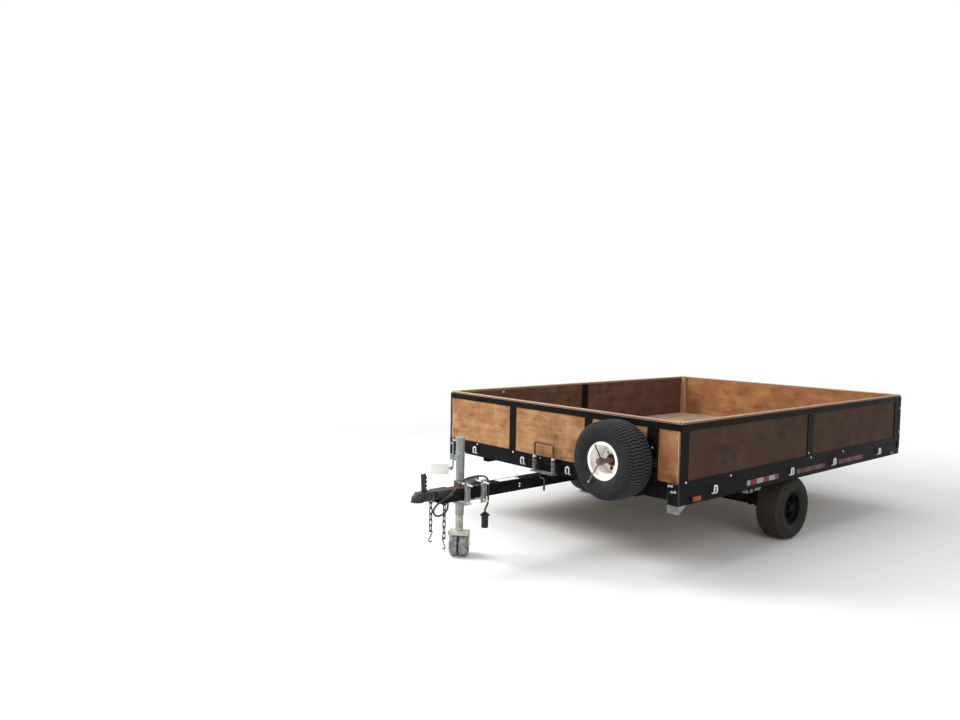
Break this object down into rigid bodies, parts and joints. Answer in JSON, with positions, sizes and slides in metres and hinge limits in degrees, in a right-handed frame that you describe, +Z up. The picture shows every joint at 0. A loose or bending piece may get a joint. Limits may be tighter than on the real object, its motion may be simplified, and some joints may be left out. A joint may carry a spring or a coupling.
{
  "type": "tilt-bed utility trailer",
  "caption": "Single-axle tilt-bed utility trailer with plywood stake sides, swing-up tongue jack and a spare wheel on its front wall.",
  "frame": {"origin": "on the ground, midway along and across the overall size without the wiring cable and its plug", "axes": "+X forwards to the coupler, +Y to the left, +Z up"},
  "size_m": [4.205, 2.1636, 0.955],
  "materials": {
    "black_paint": "satin, chalked and chipped",
    "deck_plywood": "worn, unsealed",
    "stained_plywood": "brown stain, weathered",
    "post_timber": "weathered",
    "rusty_steel": "rusted through black paint",
    "galvanised_steel": "dull zinc",
    "grey_wheel": "scuffed",
    "amber_lens": "clear amber",
    "red_lens": "clear red",
    "white_paint": "gloss, stained at the hub",
    "tyre_rubber": "dusty",
    "cable_rubber": "dull",
    "black_plastic": "dull"
  },
  "bodies": {
    "tongue": {"tongue": "black_paint", "latch_plate": "rusty_steel", "coupler": "rusty_steel", "coupler_latch": "rusty_steel", "jack_mount": "galvanised_steel", "jack_straps": "galvanised_steel", "jack_bolts": "galvanised_steel", "safety_chains": "rusty_steel", "wiring_cable": "cable_rubber", "wiring_plug": "black_plastic"},
    "bed": {"side_rails": "black_paint", "end_rails": "black_paint", "cross_members": "black_paint", "under_beams": "black_paint", "deck": "deck_plywood", "plywood_left": "stained_plywood", "plywood_right": "stained_plywood", "plywood_front": "stained_plywood", "plywood_rear": "stained_plywood", "wall_frame_left": "black_paint", "wall_frame_right": "black_paint", "wall_frame_front": "black_paint", "wall_frame_rear": "black_paint", "inner_posts": "black_paint", "corner_posts": "post_timber", "corner_brackets": "black_paint", "corner_shoes": "galvanised_steel", "tie_down_staples": "galvanised_steel", "marker_lamps": "amber_lens", "rear_lamps": "red_lens", "hold_down_bar": "rusty_steel", "hold_down_springs": "galvanised_steel", "axle": "black_paint", "leaf_springs": "black_paint", "spring_hangers": "black_paint", "pivot_ears": "black_paint", "spare_carrier": "black_paint", "spare_rim": "white_paint", "spare_tyre": "tyre_rubber", "spare_hold_rods": "galvanised_steel"},
    "wheel_left": {"wheel_left": "black_paint", "tyre_left": "tyre_rubber"},
    "wheel_right": {"wheel_right": "black_paint", "tyre_right": "tyre_rubber"},
    "jack": {"jack_tube": "galvanised_steel", "jack_crank": "galvanised_steel"},
    "jack_leg": {"jack_leg": "galvanised_steel"},
    "caster": {"caster_fork": "galvanised_steel"},
    "caster_wheels": {"caster_wheels": "grey_wheel"}
  },
  "joints": [
    {"name": "bed_tilt", "type": "hinge", "parent": "tongue", "child": "bed", "pos_m": [-0.2705, 0, 0.4517], "axis": [0, -1, 0], "range_deg": [0, 12]},
    {"name": "wheel_left_spin", "type": "hinge", "parent": "bed", "child": "wheel_left", "pos_m": [-0.4905, 0.908, 0.224], "axis": [0, 1, 0], "continuous": true},
    {"name": "wheel_right_spin", "type": "hinge", "parent": "bed", "child": "wheel_right", "pos_m": [-0.4905, -0.908, 0.224], "axis": [0, 1, 0], "continuous": true},
    {"name": "jack_swing", "type": "hinge", "parent": "tongue", "child": "jack", "pos_m": [1.6195, -0.15, 0.4517], "axis": [0, 1, 0], "range_deg": [0, 90]},
    {"name": "jack_lift", "type": "slide", "parent": "jack", "child": "jack_leg", "axis": [0, 0, 1], "range_m": [-0.2, 0.075]},
    {"name": "caster_swivel", "type": "hinge", "parent": "jack_leg", "child": "caster", "pos_m": [1.6195, -0.15, 0.18], "axis": [0, 0, 1], "continuous": true},
    {"name": "caster_spin", "type": "hinge", "parent": "caster", "child": "caster_wheels", "pos_m": [1.61031, -0.15771, 0.074], "axis": [-0.6428, 0.766, 0], "continuous": true}
  ]
}
